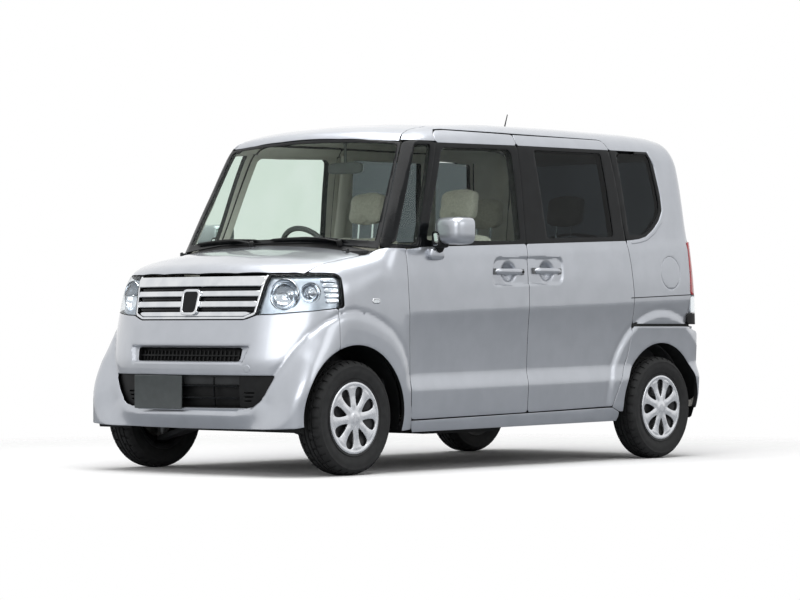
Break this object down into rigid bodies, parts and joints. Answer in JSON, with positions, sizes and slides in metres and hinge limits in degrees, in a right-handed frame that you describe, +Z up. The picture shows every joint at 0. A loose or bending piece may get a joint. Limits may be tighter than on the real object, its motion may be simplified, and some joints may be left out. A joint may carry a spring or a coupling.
{
  "type": "kei car",
  "caption": "Tall boxy kei car with hinged front doors, sliding rear doors, tailgate, bonnet, fuel lid, steering and rolling wheels.",
  "frame": {"origin": "on the ground, below the middle of the car's box", "axes": "+Z up, the front faces -Y, the car's left is +X"},
  "size_m": [1.847, 3.395, 1.8979],
  "materials": {
    "silver_paint": "metallic clear coat",
    "underbody": "satin black",
    "clear_glass": "clear",
    "dark_glass": "tinted",
    "bright_trim": "polished",
    "lamp_lens": "clear",
    "tail_lens": "polished",
    "black_plastic": "fine grained",
    "cabin_plastic": "grained",
    "seat_cloth": "woven",
    "tyre_rubber": "matte",
    "wheel_cover": "silver lacquer",
    "bare_steel": "dull",
    "cast_metal": "as cast",
    "mirror_glass": "polished"
  },
  "bodies": {
    "body": {"floor_pan": "underbody", "toe_board": "underbody", "footwell_floor": "underbody", "load_floor": "underbody", "rear_wheel_housings": "cabin_plastic", "bulkhead": "underbody", "front_structure": "underbody", "left_body_side": "silver_paint", "right_body_side": "silver_paint", "roof_panel": "silver_paint", "windscreen": "clear_glass", "side_windows": "dark_glass", "sliding_doors": "silver_paint", "front_fenders": "silver_paint", "front_bumper": "silver_paint", "rear_bumper": "silver_paint", "grille": "bright_trim", "headlamps": "lamp_lens", "tail_lamps": "tail_lens", "front_plate": "black_plastic", "wipers": "black_plastic", "antenna": "black_plastic", "interior_mirror": "mirror_glass", "dashboard": "cabin_plastic", "front_seats": "seat_cloth", "rear_seats": "seat_cloth", "engine": "cast_metal", "fuel_tank": "underbody", "exhaust": "bare_steel", "front_suspension": "underbody", "rear_axle": "underbody"},
    "left_front_door": {"left_front_door": "silver_paint", "left_front_window": "clear_glass", "left_door_mirror": "silver_paint"},
    "right_front_door": {"right_front_door": "silver_paint", "right_front_window": "clear_glass", "right_door_mirror": "silver_paint"},
    "tailgate": {"tailgate": "silver_paint", "tailgate_window": "dark_glass"},
    "bonnet": {"bonnet": "silver_paint"},
    "fuel_lid": {"fuel_lid": "silver_paint"},
    "steering_wheel": {"steering_wheel": "black_plastic"},
    "left_knuckle": {"left_knuckle": "cast_metal"},
    "right_knuckle": {"right_knuckle": "cast_metal"},
    "left_front_wheel": {"left_front_tyre": "tyre_rubber", "left_front_wheel": "wheel_cover"},
    "right_front_wheel": {"right_front_tyre": "tyre_rubber", "right_front_wheel": "wheel_cover"},
    "left_rear_wheel": {"left_rear_tyre": "tyre_rubber", "left_rear_wheel": "wheel_cover"},
    "right_rear_wheel": {"right_rear_tyre": "tyre_rubber", "right_rear_wheel": "wheel_cover"}
  },
  "joints": [
    {"name": "steering", "type": "hinge", "parent": "body", "child": "left_knuckle", "pos_m": [0.6005, -1.2375, 0.2785], "axis": [0, 0, 1], "range_deg": [-35, 35]},
    {"name": "right_steering", "type": "hinge", "parent": "body", "child": "right_knuckle", "pos_m": [-0.6005, -1.2375, 0.2785], "axis": [0, 0, 1], "range_deg": [-35, 35]},
    {"name": "steering_wheel_turn", "type": "hinge", "parent": "body", "child": "steering_wheel", "pos_m": [-0.33, -0.4305, 1.087], "axis": [0, 0.8829, 0.4695], "range_deg": [-540, 540]},
    {"name": "left_front_door_hinge", "type": "hinge", "parent": "body", "child": "left_front_door", "pos_m": [0.7185, -0.7905, 0.68], "axis": [0, 0, -1], "range_deg": [0, 65]},
    {"name": "right_front_door_hinge", "type": "hinge", "parent": "body", "child": "right_front_door", "pos_m": [-0.7185, -0.7905, 0.68], "axis": [0, 0, 1], "range_deg": [0, 65]},
    {"name": "tailgate_hinge", "type": "hinge", "parent": "body", "child": "tailgate", "pos_m": [0, 1.4725, 1.766], "axis": [1, 0, 0], "range_deg": [0, 85]},
    {"name": "bonnet_hinge", "type": "hinge", "parent": "body", "child": "bonnet", "pos_m": [0, -1.1255, 1.094], "axis": [-1, 0, 0], "range_deg": [0, 55]},
    {"name": "fuel_lid_hinge", "type": "hinge", "parent": "body", "child": "fuel_lid", "pos_m": [0.7193, 1.2575, 1.017], "axis": [0, 0, -1], "range_deg": [0, 90]},
    {"name": "left_front_wheel_spin", "type": "hinge", "parent": "left_knuckle", "child": "left_front_wheel", "pos_m": [0.6525, -1.2375, 0.2785], "axis": [1, 0, 0], "continuous": true},
    {"name": "right_front_wheel_spin", "type": "hinge", "parent": "right_knuckle", "child": "right_front_wheel", "pos_m": [-0.6525, -1.2375, 0.2785], "axis": [1, 0, 0], "continuous": true},
    {"name": "left_rear_wheel_spin", "type": "hinge", "parent": "body", "child": "left_rear_wheel", "pos_m": [0.6525, 1.2825, 0.2785], "axis": [1, 0, 0], "continuous": true},
    {"name": "right_rear_wheel_spin", "type": "hinge", "parent": "body", "child": "right_rear_wheel", "pos_m": [-0.6525, 1.2825, 0.2785], "axis": [1, 0, 0], "continuous": true}
  ],
  "couplings": [
    {"joint": "right_steering", "follows": "steering", "ratio": 1},
    {"joint": "steering_wheel_turn", "follows": "steering", "ratio": 15}
  ]
}
